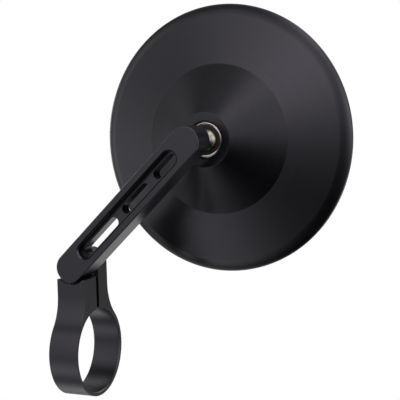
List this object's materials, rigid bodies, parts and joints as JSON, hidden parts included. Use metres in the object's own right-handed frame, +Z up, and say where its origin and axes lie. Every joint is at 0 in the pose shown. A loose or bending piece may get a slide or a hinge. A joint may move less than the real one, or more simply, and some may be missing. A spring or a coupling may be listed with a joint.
{
  "type": "motorcycle bar end mirror",
  "caption": "Round bar end mirror: a turned black head on a ball stud, a slotted arm that swings on a pivot screw, and a split ring clamp for the end of the handlebar.",
  "frame": {"origin": "centre of the clamp's bore, halfway along its width", "axes": "+X along the handlebar, out of its end; +Y back to the rider, who looks into the glass; +Z up"},
  "size_m": [0.1037, 0.0468, 0.145],
  "materials": {
    "black_anodised": "black anodised, satin",
    "black_turned": "black anodised over fine turned rings",
    "polished_steel": "polished",
    "black_steel": "black oxide",
    "zinc_steel": "bright zinc",
    "spring_steel": "oiled spring steel",
    "brown_seat": "smooth moulded",
    "white_washer": "smooth moulded",
    "brass_plug": "turned",
    "black_foam": "closed foam, adhesive on both faces",
    "mirror_glass": "polished, silvered"
  },
  "bodies": {
    "clamp": {"clamp": "black_anodised", "clamp_screw": "black_steel", "clamp_screw_washer": "zinc_steel", "friction_washer": "white_washer", "pivot_spring": "spring_steel", "pivot_washer": "zinc_steel"},
    "arm": {"arm": "black_anodised", "pivot_screw": "black_steel", "ball_stud": "polished_steel"},
    "yaw_seat": {"rear_seat": "brown_seat"},
    "pitch_seat": {"front_seat": "brown_seat"},
    "head": {"head_housing": "black_turned", "retaining_ring": "polished_steel", "thrust_cup": "zinc_steel", "disc_spring_rear": "spring_steel", "disc_spring_front": "spring_steel", "adjusting_plug": "brass_plug", "glass_pad": "black_foam", "mirror_glass": "mirror_glass"}
  },
  "joints": [
    {"name": "arm_pivot", "type": "hinge", "parent": "clamp", "child": "arm", "pos_m": [0, 0, 0.0324], "axis": [0, 1, 0], "range_deg": [-114, 22]},
    {"name": "head_yaw", "type": "hinge", "parent": "arm", "child": "yaw_seat", "pos_m": [0.04734, 0.0118, 0.07796], "axis": [0, 0, 1], "range_deg": [-15, 15]},
    {"name": "head_pitch", "type": "hinge", "parent": "yaw_seat", "child": "pitch_seat", "pos_m": [0.04734, 0.0118, 0.07796], "axis": [1, 0, 0], "range_deg": [-15, 15]},
    {"name": "head_spin", "type": "hinge", "parent": "pitch_seat", "child": "head", "pos_m": [0.04734, 0.0118, 0.07796], "axis": [0.0454, 0.9989, -0.0087], "continuous": true}
  ]
}
